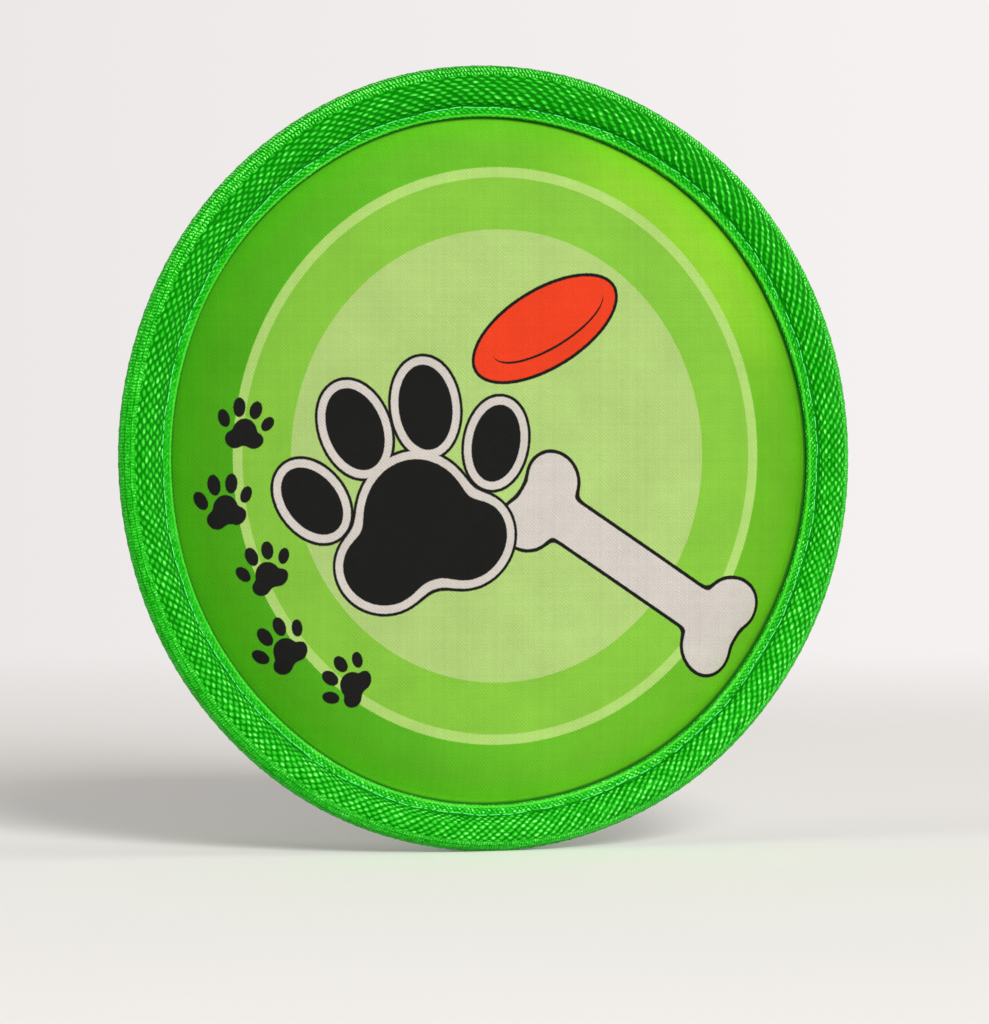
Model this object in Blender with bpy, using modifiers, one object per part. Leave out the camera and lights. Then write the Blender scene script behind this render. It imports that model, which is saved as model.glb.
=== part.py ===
"""Soft flying disc for throwing and fetching, 9 inches across: two canvas panels with foam between them,
bound all round in nylon webbing that is folded over a vinyl tube and lockstitched through both faces.

The disc stands on its edge. Its axis is world Y and its printed face looks along -Y.
Every turned piece is drawn about its own +Z, which is the printed side, and hangs on one empty
that lays that +Z along world -Y.
"""

import math

import bpy

MM = 0.001

# Driving dimensions, in millimetres
DISC_RADIUS = 114.5  # a 9 inch disc is 229 mm across
RIM_HALF_THICKNESS = 6.3  # the bound rim is 12.6 mm through
WEBBING_THICKNESS = 1.8  # heavy nylon webbing
STITCH_RADIUS = 102.9  # the one line of stitching that closes the binding
LIP_RADIUS = 100.1  # where the webbing's woven edges end on the panels
GAP = 0.3  # clearance left between pieces that touch

CANVAS_THICKNESS = 0.7
PANEL_HALF_THICKNESS = 6.0  # a panel's outer face, in the padded middle
PINCHED_HALF_THICKNESS = 1.6  # the same face where the stitching pinches it
CROWN_START_RADIUS = 82.0  # the padding is level inside this radius
CROWN_END_RADIUS = 99.4  # and pinched flat outside this one

TUBE_WALL = 1.5
JOINER_LENGTH = 32.0
JOIN_ANGLE = -math.pi / 2  # the tube's ends meet at the bottom of the disc
THREAD_RADIUS = 0.35

# Worked out from them
TUBE_RADIUS = RIM_HALF_THICKNESS - WEBBING_THICKNESS - GAP
RIM_CENTRE_RADIUS = DISC_RADIUS - RIM_HALF_THICKNESS
PANEL_RADIUS = RIM_CENTRE_RADIUS - TUBE_RADIUS - GAP
LIP_INNER_HEIGHT = PINCHED_HALF_THICKNESS + GAP
LIP_OUTER_HEIGHT = LIP_INNER_HEIGHT + WEBBING_THICKNESS

# Smoothness. One number of steps for every turned piece keeps their facets in line.
TURN_STEPS = 60
CROWN_POINTS = 4
OUTER_ARC_FACETS = 8
INNER_ARC_FACETS = 6
TUBE_SIDES = 8
THREAD_SIDES = 5
MERGE_DISTANCE = 0.00002


def remove_everything():
    for old in list(bpy.data.objects):
        bpy.data.objects.remove(old, do_unlink=True)


def new_collection(name):
    collection = bpy.data.collections.new(name)
    bpy.context.scene.collection.children.link(collection)
    return collection


def linear(channel):
    """One sRGB channel, 0 to 255, as the linear value that a shader takes."""
    value = channel / 255
    if value <= 0.04045:
        return value / 12.92
    return ((value + 0.055) / 1.055) ** 2.4


def plain_material(name, srgb, roughness):
    material = bpy.data.materials.new(name)
    material.use_nodes = True
    shader = material.node_tree.nodes["Principled BSDF"]
    shader.inputs["Base Color"].default_value = [*map(linear, srgb), 1]
    shader.inputs["Roughness"].default_value = roughness
    shader.inputs["Metallic"].default_value = 0
    return material


def place(obj, axis_empty, collection, material):
    """Puts an object in the disc's collection, on its axis, in its own material."""
    collection.objects.link(obj)
    obj.parent = axis_empty
    obj.data.materials.append(material)
    return obj


def turned(name, profile, closed, sweep=2 * math.pi):
    """A mesh object that turns a profile of (radius, height) points in millimetres about Z.

    The profile lies at +X and runs down its outer side from the top. A closed one is a loop,
    and an open one starts and ends on the axis.
    """
    points = [(radius * MM, 0, height * MM) for radius, height in profile]
    edges = [(i, i + 1) for i in range(len(points) - 1)]
    if closed:
        edges.append((len(points) - 1, 0))
    mesh = bpy.data.meshes.new(name)
    mesh.from_pydata(points, edges, [])
    obj = bpy.data.objects.new(name, mesh)
    screw = obj.modifiers.new("turn", "SCREW")
    screw.axis = "Z"
    screw.angle = sweep
    screw.steps = TURN_STEPS
    screw.render_steps = TURN_STEPS
    screw.use_merge_vertices = math.isclose(sweep, 2 * math.pi)
    screw.merge_threshold = MERGE_DISTANCE
    screw.use_smooth_shade = True
    return obj


def crown_height(radius, middle, pinched):
    """Height of a padded face at a radius: level in the middle, then rounding down to the pinch."""
    if radius >= CROWN_END_RADIUS:
        return pinched
    along = max(0, radius - CROWN_START_RADIUS) / (CROWN_END_RADIUS - CROWN_START_RADIUS)
    return pinched + (middle - pinched) * (1 - along**2)


def padded_face(middle, pinched):
    """Points of one padded face from the axis out to the panel's cut edge."""
    run = CROWN_END_RADIUS - CROWN_START_RADIUS
    radii = [CROWN_START_RADIUS + run * i / CROWN_POINTS for i in range(CROWN_POINTS + 1)]
    face = [(radius, crown_height(radius, middle, pinched)) for radius in radii]
    return [(0, middle), *face, (PANEL_RADIUS, pinched)]


def mirrored(profile):
    """The same profile on the other side of the disc's middle plane, still running down."""
    return [(radius, -height) for radius, height in reversed(profile)]


def canvas_profile():
    """A canvas panel: its outer face out to the cut edge, and its inner face back to the axis."""
    outer = padded_face(PANEL_HALF_THICKNESS, PINCHED_HALF_THICKNESS)
    inner = padded_face(
        PANEL_HALF_THICKNESS - CANVAS_THICKNESS, PINCHED_HALF_THICKNESS - CANVAS_THICKNESS
    )
    return outer + inner[::-1]


def foam_profile():
    """The foam fills the room between the panels, less the clearance to each."""
    inset = CANVAS_THICKNESS + GAP
    upper = padded_face(PANEL_HALF_THICKNESS - inset, PINCHED_HALF_THICKNESS - inset)
    return upper + mirrored(upper)


def arc(centre, radius, start, end, count):
    """Points on a circle, from one angle to another, above the middle plane at zero."""
    points = []
    for i in range(count + 1):
        angle = start + (end - start) * i / count
        points.append((centre + radius * math.cos(angle), radius * math.sin(angle)))
    return points


def webbing_profile():
    """The folded webbing: round over the tube, pulled in at the stitching, flat at the two lips.

    The outer arc has one level facet at its crest, on which the disc rests when it lies down.
    """
    facet = math.pi / (2 * OUTER_ARC_FACETS + 1)
    corner_radius = RIM_HALF_THICKNESS / math.cos(facet / 2)
    crest_end = (math.pi - facet) / 2
    crest_start = crest_end + facet
    neck = crest_start + 3 * facet
    inward = arc(RIM_CENTRE_RADIUS, corner_radius, neck, crest_start, 3)
    outward = arc(RIM_CENTRE_RADIUS, corner_radius, crest_end, 0, OUTER_ARC_FACETS)
    round_part = inward + outward[:-1]
    widest = (DISC_RADIUS, 0)
    lip = [
        (LIP_RADIUS, LIP_INNER_HEIGHT),
        (LIP_RADIUS, LIP_OUTER_HEIGHT - 0.5),
        (LIP_RADIUS + 0.5, LIP_OUTER_HEIGHT),
        (STITCH_RADIUS, LIP_OUTER_HEIGHT),
    ]
    outside = lip + round_part
    outside_and_back = outside + [widest] + mirrored(outside)
    inner_radius = TUBE_RADIUS + GAP
    throat = math.pi - math.asin(LIP_INNER_HEIGHT / inner_radius)
    inside = arc(RIM_CENTRE_RADIUS, inner_radius, 0, throat, INNER_ARC_FACETS)
    return outside_and_back + mirrored(inside)[:-1] + inside


def make_webbing():
    return turned("rim_webbing", webbing_profile(), True)


def make_front_panel():
    return turned("front_panel", canvas_profile(), False)


def make_back_panel():
    """The back panel is the front one turned over."""
    panel = turned("back_panel", canvas_profile(), False)
    panel.rotation_euler.x = math.pi
    return panel


def make_foam():
    return turned("foam_pad", foam_profile(), False)


def make_rim_tube():
    """A hollow vinyl tube bent into a ring. Its two cut ends butt at the bottom of the disc."""
    top = math.pi / 2
    wall_line = arc(RIM_CENTRE_RADIUS, TUBE_RADIUS, top, top - 2 * math.pi, TUBE_SIDES)
    end_gap = GAP / RIM_CENTRE_RADIUS
    tube = turned("rim_tube", wall_line[:-1], True, 2 * math.pi - end_gap)
    tube.rotation_euler.z = JOIN_ANGLE + end_gap / 2
    wall = tube.modifiers.new("wall", "SOLIDIFY")
    wall.thickness = TUBE_WALL * MM
    wall.offset = -1
    return tube


def make_tube_joiner():
    """A short round plug pushed into both ends of the tube, bent to the same curve."""
    radius = TUBE_RADIUS - TUBE_WALL - GAP
    half_angle = JOINER_LENGTH / RIM_CENTRE_RADIUS / 2
    count = 8
    curve = bpy.data.curves.new("tube_joiner", "CURVE")
    curve.dimensions = "3D"
    curve.bevel_depth = radius * MM
    curve.bevel_resolution = 2
    curve.use_fill_caps = True
    spline = curve.splines.new("POLY")
    spline.points.add(count)
    for i in range(count + 1):
        angle = JOIN_ANGLE - half_angle + 2 * half_angle * i / count
        x = RIM_CENTRE_RADIUS * MM * math.cos(angle)
        y = RIM_CENTRE_RADIUS * MM * math.sin(angle)
        spline.points[i].co = (x, y, 0, 1)
    return bpy.data.objects.new("tube_joiner", curve)


def make_stitching(name, side):
    """One thread of the lockstitch, lying in the valley on one side: 1 is the printed side."""
    height = side * (LIP_OUTER_HEIGHT + GAP + THREAD_RADIUS)
    top = math.pi / 2
    ring = arc(STITCH_RADIUS, THREAD_RADIUS, top, top - 2 * math.pi, THREAD_SIDES)
    profile = [(radius, rise + height) for radius, rise in ring[:-1]]
    return turned(name, profile, True)


def build():
    remove_everything()
    disc = new_collection("flying_disc")
    axis_empty = bpy.data.objects.new("disc_axis", None)
    axis_empty.rotation_euler.x = math.pi / 2
    disc.objects.link(axis_empty)

    green_print = plain_material("printed_canvas", (108, 196, 44), 0.75)
    green_back = plain_material("plain_canvas", (98, 184, 40), 0.75)
    foam = plain_material("white_foam", (232, 230, 222), 0.9)
    vinyl = plain_material("clear_vinyl", (205, 210, 205), 0.4)
    nylon = plain_material("nylon_webbing", (28, 176, 28), 0.55)
    plug = plain_material("nylon_plug", (225, 224, 215), 0.5)
    needle_thread = plain_material("needle_thread", (64, 208, 128), 0.5)
    bobbin_thread = plain_material("bobbin_thread", (60, 200, 122), 0.5)

    place(make_front_panel(), axis_empty, disc, green_print)
    place(make_back_panel(), axis_empty, disc, green_back)
    place(make_foam(), axis_empty, disc, foam)
    place(make_rim_tube(), axis_empty, disc, vinyl)
    place(make_tube_joiner(), axis_empty, disc, plug)
    place(make_webbing(), axis_empty, disc, nylon)
    place(make_stitching("front_stitching", 1), axis_empty, disc, needle_thread)
    place(make_stitching("back_stitching", -1), axis_empty, disc, bobbin_thread)


build()
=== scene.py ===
import math

import bmesh
import bpy
import numpy as np
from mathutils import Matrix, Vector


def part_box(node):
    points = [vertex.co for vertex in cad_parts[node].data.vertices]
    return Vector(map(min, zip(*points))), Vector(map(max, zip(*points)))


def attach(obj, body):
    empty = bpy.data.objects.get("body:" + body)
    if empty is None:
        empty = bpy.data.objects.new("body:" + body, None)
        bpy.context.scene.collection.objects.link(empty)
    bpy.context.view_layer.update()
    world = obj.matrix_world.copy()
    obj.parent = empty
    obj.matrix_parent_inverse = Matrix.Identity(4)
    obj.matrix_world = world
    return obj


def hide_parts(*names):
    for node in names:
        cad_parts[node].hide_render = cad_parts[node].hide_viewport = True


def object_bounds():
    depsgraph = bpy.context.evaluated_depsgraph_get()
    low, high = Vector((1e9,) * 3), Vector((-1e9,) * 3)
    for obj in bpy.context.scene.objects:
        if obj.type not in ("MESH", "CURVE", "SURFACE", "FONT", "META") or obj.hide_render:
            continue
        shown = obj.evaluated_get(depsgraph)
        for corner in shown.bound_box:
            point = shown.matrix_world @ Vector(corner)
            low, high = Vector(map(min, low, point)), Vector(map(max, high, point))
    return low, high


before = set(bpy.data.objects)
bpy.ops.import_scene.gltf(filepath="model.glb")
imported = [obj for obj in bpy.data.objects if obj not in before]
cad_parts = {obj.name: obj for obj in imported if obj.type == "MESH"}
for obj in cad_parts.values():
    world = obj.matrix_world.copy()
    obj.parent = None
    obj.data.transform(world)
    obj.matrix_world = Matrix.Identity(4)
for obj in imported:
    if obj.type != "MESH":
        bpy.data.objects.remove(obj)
cad_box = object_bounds()

# ----------------------------------------------------------------------
# The rim tube: a hollow length of clear vinyl tube, bent into a ring inside the binding so that
# the rim stays round in flight. Its ends butt at the bottom, over a nylon plug.

MM = 0.001
TAU = 2 * math.pi

DISC_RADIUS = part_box("rim_webbing")[1].x / MM
RIM_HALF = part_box("rim_webbing")[1].y / MM
RIM_CENTRE = DISC_RADIUS - RIM_HALF  # radius of the ring on which the tube's centre lies
TUBE_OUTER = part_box("rim_tube")[1].y / MM
TUBE_WALL = 1.5
CLEARANCE = 0.3  # mm kept between pieces that touch
BOTTOM = -math.pi / 2  # angles go from +X towards +Z, round the printed face


def out_of_round(angle):
    """A sewn disc isn't quite round: its rim is up to 0.7 mm in across one diagonal."""
    return 1 + (0.5 * np.cos(2 * (angle - math.radians(120))) - 0.25) / DISC_RADIUS


def on_disc(radius, angle, height):
    """A point in metres, from a radius, an angle and a height in mm towards the printed face."""
    radius = radius * out_of_round(angle)
    x = radius * np.cos(angle)
    z = radius * np.sin(angle)
    return np.stack(np.broadcast_arrays(x, -height, z), -1) * MM


def grid_mesh(name, points, wrap_rows, wrap_columns, uv=None):
    """A mesh object from a grid of points, with rows and columns that may close into rings.

    uv gives two values for each point of a grid that has one more row and column.
    """
    rows, columns = points.shape[:2]
    numbers = np.arange(rows * columns).reshape(rows, columns)
    if wrap_rows:
        numbers = np.vstack([numbers, numbers[:1]])
    if wrap_columns:
        numbers = np.hstack([numbers, numbers[:, :1]])
    corners = [numbers[:-1, :-1], numbers[1:, :-1], numbers[1:, 1:], numbers[:-1, 1:]]
    faces = np.stack(corners, -1).reshape(-1, 4)
    mesh = bpy.data.meshes.new(name)
    mesh.from_pydata(points.reshape(-1, 3).tolist(), [], faces.tolist())
    if uv is not None:
        r, c = numbers.shape
        around = [uv[: r - 1, : c - 1], uv[1:r, : c - 1], uv[1:r, 1:c], uv[: r - 1, 1:c]]
        layer = mesh.uv_layers.new(name="weave")
        layer.data.foreach_set("uv", np.stack(around, 2).astype(np.float32).ravel())
    work = bmesh.new()
    work.from_mesh(mesh)
    bmesh.ops.remove_doubles(work, verts=work.verts, dist=1e-6)
    loose = [edge for edge in work.edges if not edge.link_faces]
    bmesh.ops.delete(work, geom=loose, context="EDGES")
    bmesh.ops.recalc_face_normals(work, faces=work.faces)
    for face in work.faces:
        face.smooth = True
    work.to_mesh(mesh)
    work.free()
    piece = bpy.data.objects.new(name, mesh)
    bpy.context.scene.collection.objects.link(piece)
    return piece


def linear(hex_colour):
    """An sRGB hex colour as the linear colour that a shader takes."""
    channels = [int(hex_colour[i : i + 2], 16) / 255 for i in (1, 3, 5)]
    low = [c / 12.92 for c in channels]
    high = [((c + 0.055) / 1.055) ** 2.4 for c in channels]
    return [lo if c <= 0.04045 else hi for c, lo, hi in zip(channels, low, high)] + [1]


def add(tree, kind, *inputs, **settings):
    """Adds a node, gives it its settings, and fills its inputs in order or by name.

    An input is a constant, a socket, or a node, which gives its first output. None skips one.
    """
    node = tree.nodes.new("ShaderNode" + kind)
    named = settings.pop("named", {})
    for key, value in settings.items():
        setattr(node, key, value)
    for key, value in [*enumerate(inputs), *named.items()]:
        if isinstance(value, bpy.types.Node):
            tree.links.new(value.outputs[0], node.inputs[key])
        elif isinstance(value, bpy.types.NodeSocket):
            tree.links.new(value, node.inputs[key])
        elif value is not None:
            node.inputs[key].default_value = value
    return node


def new_material(name, **shader_values):
    """A material with one Principled shader and its constant values. Returns it and its tree."""
    material = bpy.data.materials.new(name)
    material.use_nodes = True
    shader = material.node_tree.nodes["Principled BSDF"]
    for key, value in shader_values.items():
        shader.inputs[key.replace("_", " ")].default_value = value
    return material, material.node_tree, shader


def ring_arc(centre, radius, start, end, count):
    """Radii and heights of points on a circle in the rim's section."""
    angles = np.linspace(start, end, count)
    return centre + radius * np.cos(angles), radius * np.sin(angles)


tube_sides = 32
tube_steps = 240
end_gap = CLEARANCE / RIM_CENTRE
around = np.linspace(BOTTOM + end_gap / 2, BOTTOM + TAU - end_gap / 2, tube_steps)
outer_r, outer_h = ring_arc(RIM_CENTRE, TUBE_OUTER, 0, TAU, tube_sides + 1)
inner_r, inner_h = ring_arc(RIM_CENTRE, TUBE_OUTER - TUBE_WALL, 0, TAU, tube_sides + 1)
walls = [
    on_disc(outer_r[:-1], around[:, None], outer_h[:-1]),
    on_disc(inner_r[:-1], around[::-1, None], inner_h[:-1]),
]
rim_tube = grid_mesh("rim_tube_vinyl", np.concatenate(walls), True, True)

# Clear flexible PVC: a soft gloss from the extruder, with faint lines drawn along its length.
vinyl, tree, shader = new_material(
    "extruded_vinyl", Base_Color=linear("#cdd2cd"), Roughness=0.3, IOR=1.53, Transmission_Weight=0.4
)
place = add(tree, "TexCoord").outputs["Object"]
drawn_lines = add(tree, "TexNoise", place, named={"Scale": 900, "Detail": 2})
drawn_bump = add(tree, "Bump", named={"Strength": 0.15, "Distance": 0.0001, "Height": drawn_lines})
tree.links.new(drawn_bump.outputs[0], shader.inputs["Normal"])
rim_tube.data.materials.append(vinyl)
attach(rim_tube, "root")
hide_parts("rim_tube")

# The joiner: a short nylon plug, moulded with a chamfer at each end and a raised stop in its
# middle that the two tube ends are pushed up to. It is a push fit and isn't glued.

PLUG_LENGTH = 32.0
plug_reach = PLUG_LENGTH / RIM_CENTRE / 2
plug_radius = TUBE_OUTER - TUBE_WALL - CLEARANCE
plug_along = np.array([-1, -0.97, -0.9, -0.4, -0.06, -0.05, 0.05, 0.06, 0.4, 0.9, 0.97, 1])
plug_fat = np.array([0.02, 0.7, 1, 1, 1, 1.08, 1.08, 1, 1, 1, 0.7, 0.02]) * plug_radius
plug_turn = np.linspace(0, TAU, 25)[:-1]
plug_r = RIM_CENTRE + plug_fat[:, None] * np.cos(plug_turn)
plug_h = plug_fat[:, None] * np.sin(plug_turn)
plug_angle = BOTTOM + plug_along[:, None] * plug_reach
tube_joiner = grid_mesh("tube_joiner_plug", on_disc(plug_r, plug_angle, plug_h), False, True)
work = bmesh.new()
work.from_mesh(tube_joiner.data)
bmesh.ops.holes_fill(work, edges=work.edges)
bmesh.ops.recalc_face_normals(work, faces=work.faces)
work.to_mesh(tube_joiner.data)
work.free()

# Natural nylon: a milky satin, a little mottled where the melt front cooled.
plug_nylon, tree, shader = new_material("moulded_nylon", Roughness=0.42, IOR=1.53)
place = add(tree, "TexCoord").outputs["Object"]
mottle = add(tree, "TexNoise", place, named={"Scale": 350, "Detail": 3})
milk = add(tree, "Mix", mottle, data_type="RGBA", named={6: linear("#dad9cf"), 7: linear("#e8e7df")})
tree.links.new(milk.outputs[2], shader.inputs["Base Color"])
tube_joiner.data.materials.append(plug_nylon)
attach(tube_joiner, "root")
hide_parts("tube_joiner")

# ----------------------------------------------------------------------
# The foam pad: one disc of soft white closed-cell foam, about 10 mm thick, laid between the two
# canvases. The stitching squeezes it to about 1 mm at the rim, which crowns both faces.

CROWN_START = 82.0
CROWN_END = 99.4
PUCKER_RADIUS = 96.5  # the cloth gathers most here, just inside the lip
PUCKER_REACH = 3.4
PANEL_FACE = -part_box("front_panel")[0].y / MM
PANEL_BACK = -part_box("front_panel")[1].y / MM
PANEL_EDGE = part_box("front_panel")[1].x / MM
CANVAS = 0.7


def crowned(radius, face, pinch):
    """Height of a padded face: level in the middle, then rounding down to the pinched margin."""
    along = np.clip((radius - CROWN_START) / (CROWN_END - CROWN_START), 0, 1)
    return pinch + (face - pinch) * (1 - along**2)


def canvas_face(radius, angle, seed):
    """Height of a canvas's outer face: the crown, the cloth's slack and the pucker at the seam."""
    height = crowned(radius, PANEL_FACE, PANEL_BACK + CANVAS)
    x = radius * np.cos(angle)
    z = radius * np.sin(angle)
    slack = np.sin(x / 31 + seed) * np.cos(z / 27 - seed) + 0.6 * np.sin((x - z) / 19 + 2 * seed)
    inside = np.clip((CROWN_END - radius) / 25, 0, 1)
    height = height - 0.22 * (1 + slack) * inside
    ripple = np.sin(67 * angle + 3 * np.sin(5 * angle + seed)) * np.sin(9 * angle - seed) ** 2
    near_seam = np.exp(-(((radius - PUCKER_RADIUS) / PUCKER_REACH) ** 2))
    return height - 0.16 * (1 + ripple) * near_seam


FRONT_SEED = 0.4
BACK_SEED = 2.1
cloth_turn = np.linspace(0, TAU, 257)[:-1, None]
cloth_middle = np.linspace(0, CROWN_START, 22)
cloth_margin = np.linspace(CROWN_START, PANEL_EDGE, 43)[1:]
under_cloth = np.concatenate([cloth_margin[::-3], cloth_middle[::-5], [0]])
foam_top = canvas_face(under_cloth, cloth_turn, FRONT_SEED) - CANVAS - CLEARANCE
foam_below = CANVAS + CLEARANCE - canvas_face(under_cloth, cloth_turn, BACK_SEED)
foam_r = np.concatenate([under_cloth, under_cloth[::-1]])
foam_h = np.concatenate([foam_top, foam_below[:, ::-1]], 1)
foam_pad = grid_mesh("foam_pad_disc", on_disc(foam_r, cloth_turn, foam_h), True, True)

# Closed-cell polyethylene foam: chalky, with round cells about 0.8 mm across and cut skins.
foam, tree, shader = new_material("closed_cell_foam", Roughness=0.95, Subsurface_Weight=0.2)
place = add(tree, "TexCoord").outputs["Object"]
cells = add(tree, "TexVoronoi", place, named={"Scale": 1250})
cell_colour = add(
    tree, "Mix", cells, data_type="RGBA", named={6: linear("#f1efe8"), 7: linear("#d9d6cb")}
)
cell_bump = add(tree, "Bump", named={"Strength": 0.5, "Distance": 0.0003, "Height": cells})
tree.links.new(cell_colour.outputs[2], shader.inputs["Base Color"])
tree.links.new(cell_bump.outputs[0], shader.inputs["Normal"])
foam_pad.data.materials.append(foam)
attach(foam_pad, "root")
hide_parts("foam_pad")

# ----------------------------------------------------------------------
# The two canvas panels: discs of woven polyester, the front one screen printed, cut to the same
# round and held at the rim between the foam and the folded webbing by the one row of stitching.

STITCH_RADIUS = 102.9
LIP_RADIUS = 100.1
LIP_DENT = 0.25  # how deep the lip presses into the canvas


def smooth_step(low, high, value):
    """0 below low, 1 above high, and an even curve between."""
    share = np.clip((value - low) / (high - low), 0, 1)
    return share * share * (3 - 2 * share)


def seam_wander(radius, angle):
    """How far the hand-guided seam and lip stray from their circle. The rim itself doesn't."""
    stray = -0.7 * np.sin(angle) + 0.25 * np.sin(3 * angle + 1) + 0.15 * np.sin(7 * angle + 2)
    return stray * smooth_step(RIM_CENTRE - 1.5, STITCH_RADIUS + 0.3, radius)


def canvas_panel(name, side, seed):
    """A canvas as a closed thin disc. side is 1 for the printed face and -1 for the back.

    Its values called from_lip tell a material how many mm a place is in from the binding's lip.
    """
    outer_r = np.concatenate([cloth_middle, cloth_margin])
    outer_h = canvas_face(outer_r, cloth_turn, seed)
    lip = LIP_RADIUS + seam_wander(LIP_RADIUS, cloth_turn)
    outer_h = outer_h - LIP_DENT * np.exp(-(((outer_r - lip) / 0.8) ** 2))
    inner_h = canvas_face(under_cloth, cloth_turn, seed) - CANVAS
    radius = np.concatenate([outer_r, under_cloth])
    height = np.concatenate([outer_h, inner_h], 1) * side
    panel = grid_mesh(name, on_disc(radius, cloth_turn, height), True, False)
    places = np.empty(3 * len(panel.data.vertices))
    panel.data.vertices.foreach_get("co", places)
    x, _, z = places.reshape(-1, 3).T / MM
    turn = np.arctan2(z, x)
    from_lip = LIP_RADIUS + seam_wander(LIP_RADIUS, turn) - np.hypot(x, z) / out_of_round(turn)
    values = panel.data.attributes.new("from_lip", "FLOAT", "POINT")
    values.data.foreach_set("value", from_lip.astype(np.float32))
    return panel


front_panel = canvas_panel("front_panel_canvas", 1, FRONT_SEED)
back_panel = canvas_panel("back_panel_canvas", -1, BACK_SEED)

# A 2/2 twill of polyester yarn: every thread passes over two and under two, a step on in each
# row, so the eye sees fine slanting ribs 0.74 mm apart that run down to the right.
THREAD_PITCH = 0.26

twill = bpy.data.node_groups.new("twill_weave", "ShaderNodeTree")
twill.interface.new_socket("Place", in_out="INPUT", socket_type="NodeSocketVector")
twill.interface.new_socket("Height", in_out="OUTPUT", socket_type="NodeSocketFloat")
twill.interface.new_socket("Yarn", in_out="OUTPUT", socket_type="NodeSocketFloat")
entry = twill.nodes.new("NodeGroupInput").outputs[0]
leave = twill.nodes.new("NodeGroupOutput")
drift = add(twill, "TexNoise", entry, named={"Scale": 0.35, "Detail": 3}).outputs["Color"]
drifted = add(twill, "VectorMath", drift, (0.9, 0.9, 0), entry, operation="MULTIPLY_ADD")
scaled = add(twill, "VectorMath", drifted, (1 / THREAD_PITCH,) * 3, operation="MULTIPLY")
cell = add(twill, "VectorMath", scaled, operation="FLOOR")
across = add(twill, "VectorMath", scaled, operation="FRACTION")
cell_xy = add(twill, "SeparateXYZ", cell)
across_xy = add(twill, "SeparateXYZ", across)
count = add(twill, "Math", cell_xy.outputs[0], cell_xy.outputs[1], operation="ADD")
step = add(twill, "Math", count, 4, operation="FLOORED_MODULO")
warp_over = add(twill, "Math", step, 1.5, operation="LESS_THAN")
lane = add(twill, "Mix", warp_over, named={2: across_xy.outputs[1], 3: across_xy.outputs[0]})
half_turn = add(twill, "Math", lane, math.pi, operation="MULTIPLY")
round_yarn = add(twill, "Math", half_turn, operation="SINE")
which = add(twill, "Mix", warp_over, named={2: cell_xy.outputs[1], 3: cell_xy.outputs[0]})
yarn_seed = add(twill, "Math", warp_over, 517, which, operation="MULTIPLY_ADD")
yarn_shade = add(twill, "TexWhiteNoise", noise_dimensions="1D", named={"W": yarn_seed})
float_rise = add(twill, "MapRange", warp_over, 0, 1, 0.35, 1.0)
yarn_rise = add(twill, "Math", round_yarn, float_rise, operation="MULTIPLY")
twill.links.new(yarn_rise.outputs[0], leave.inputs["Height"])
twill.links.new(yarn_shade.outputs[0], leave.inputs["Yarn"])

# Screen print on the canvas: rings of three greens, then a paw mark, a bone, a toy disc and a
# trail of small paws. Each shape is a distance in mm from its outline, negative inside it.
PRINT_CENTRE = (0.5, 0.9)
PRINT_WIDTH = 0.977  # the print came out a little narrower than it is high
RING_OUTER = 84.0
RING_INNER = 81.0
HEART_RADIUS = 65.9
INK_EDGE = 0.12
BLACK = "#0b0b0a"
OFF_WHITE = "#99948e"


def ramp(tree, value, *stops):
    """A colour for a height from 0 to 1, through stops of (height, hex colour)."""
    node = add(tree, "ValToRGB", value)
    elements = node.color_ramp.elements
    for element, (place, colour) in zip(elements, (stops[0], stops[-1])):
        element.position = place
        element.color = linear(colour)
    for place, colour in stops[1:-1]:
        elements.new(place).color = linear(colour)
    return node.outputs["Color"]


def on_cloth(tree):
    """A place on the flat printed face, in mm to the right and up."""
    place = add(tree, "TexCoord").outputs["Object"]
    flat = (-math.pi / 2, 0, 0)
    return add(tree, "Mapping", place, named={"Rotation": flat, "Scale": (1 / MM, 0, 1 / MM)})


def placed(tree, place, centre, tilt=0.0, scale=1.0):
    """The same place seen from a shape's own centre, tilt and scale."""
    spot = {"Location": (*centre, 0), "Rotation": (0, 0, tilt), "Scale": (scale,) * 3}
    return add(tree, "Mapping", place, vector_type="TEXTURE", named=spot)


def oval(tree, place, centre, radii, tilt=0.0):
    """Distance from an oval's outline."""
    spot = placed(tree, place, centre, tilt)
    share = add(tree, "VectorMath", spot, (*radii, 1), operation="DIVIDE")
    steep = add(tree, "VectorMath", share, (*radii, 1), operation="DIVIDE")
    reach = add(tree, "VectorMath", share, operation="LENGTH").outputs["Value"]
    slope = add(tree, "VectorMath", steep, operation="LENGTH").outputs["Value"]
    over = add(tree, "Math", reach, 1, operation="SUBTRACT")
    rise = add(tree, "Math", over, reach, operation="MULTIPLY")
    return add(tree, "Math", rise, slope, operation="DIVIDE")


def joined(tree, distances, blend=0.0):
    """Distance from several shapes taken together, run into each other by blend."""
    whole = distances[0]
    for distance in distances[1:]:
        whole = add(tree, "Math", whole, distance, blend, operation="SMOOTH_MIN")
    return whole


def inked(tree, distance, grow=0.0):
    """1 where a shape is inked and 0 outside it, with the soft edge that ink has on yarn."""
    return add(tree, "MapRange", distance, grow - INK_EDGE, grow + INK_EDGE, 1, 0)


def over_print(tree, colour, ink, mask):
    """Lays one ink over what is printed already."""
    laid = add(tree, "Mix", mask, data_type="RGBA", named={6: colour, 7: linear(ink)})
    return laid.outputs[2]


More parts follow.
